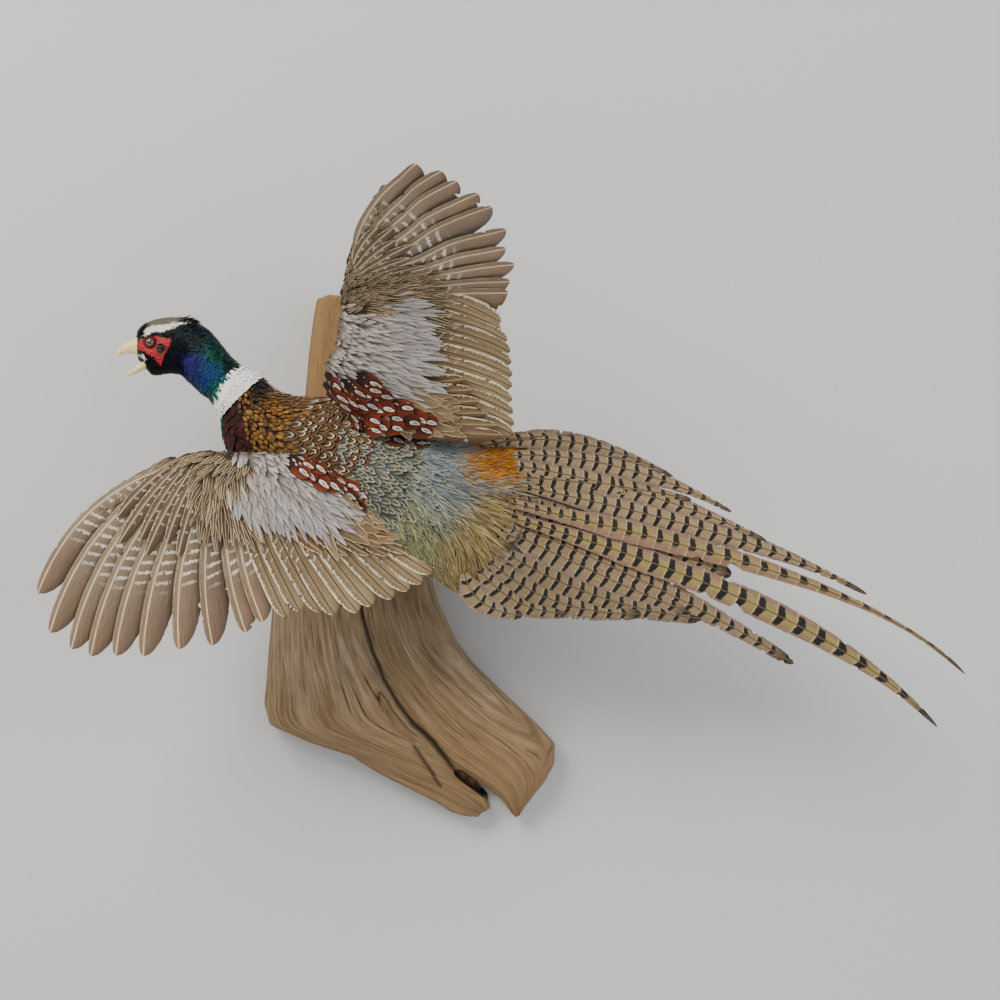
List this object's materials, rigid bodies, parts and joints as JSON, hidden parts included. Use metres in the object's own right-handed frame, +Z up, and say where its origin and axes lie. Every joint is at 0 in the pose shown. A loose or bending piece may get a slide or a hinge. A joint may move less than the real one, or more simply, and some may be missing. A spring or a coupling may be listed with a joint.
{
  "type": "taxidermy pheasant wall mount",
  "caption": "A life-size ring-necked pheasant cock in flight with spread wings and a long barred tail, mounted on a driftwood base that hangs on a wall.",
  "frame": {"origin": "the middle of the driftwood's flat back, which rests on the wall plane y = 0", "axes": "+X along the bird towards its tail, +Y into the wall, +Z up; the bird is on the -Y side with its back to the room"},
  "size_m": [0.8972, 0.3984, 0.6307],
  "materials": {
    "head_plumage": "iridescent satin",
    "collar_plumage": "soft matte",
    "body_plumage": "silky satin",
    "rump_plumage": "soft matte",
    "covert_plumage": "soft matte",
    "flight_feathers": "satin",
    "tail_feathers": "satin",
    "thigh_plumage": "soft matte",
    "leg_scales": "dry satin",
    "bill_horn": "satin",
    "eye_glass": "polished",
    "wood": "weathered matte",
    "steel": "satin"
  },
  "bodies": {
    "root": {"head": "head_plumage", "bill_upper": "bill_horn", "bill_lower": "bill_horn", "eye_left": "eye_glass", "eye_right": "eye_glass", "neck": "head_plumage", "collar": "collar_plumage", "trunk": "body_plumage", "rump": "rump_plumage", "tail_long_upper": "tail_feathers", "tail_long_lower": "tail_feathers", "tail_right_side": "tail_feathers", "tail_left_side": "tail_feathers", "driftwood": "wood", "mount_rod": "steel", "wall_hanger": "steel", "wing_left_arm": "covert_plumage", "wing_left_primaries": "flight_feathers", "wing_left_secondaries": "flight_feathers", "wing_right_arm": "covert_plumage", "wing_right_primaries": "flight_feathers", "wing_right_secondaries": "flight_feathers", "leg_left_thigh": "thigh_plumage", "leg_left_foot": "leg_scales", "leg_right_thigh": "thigh_plumage", "leg_right_foot": "leg_scales"}
  },
  "joints": []
}
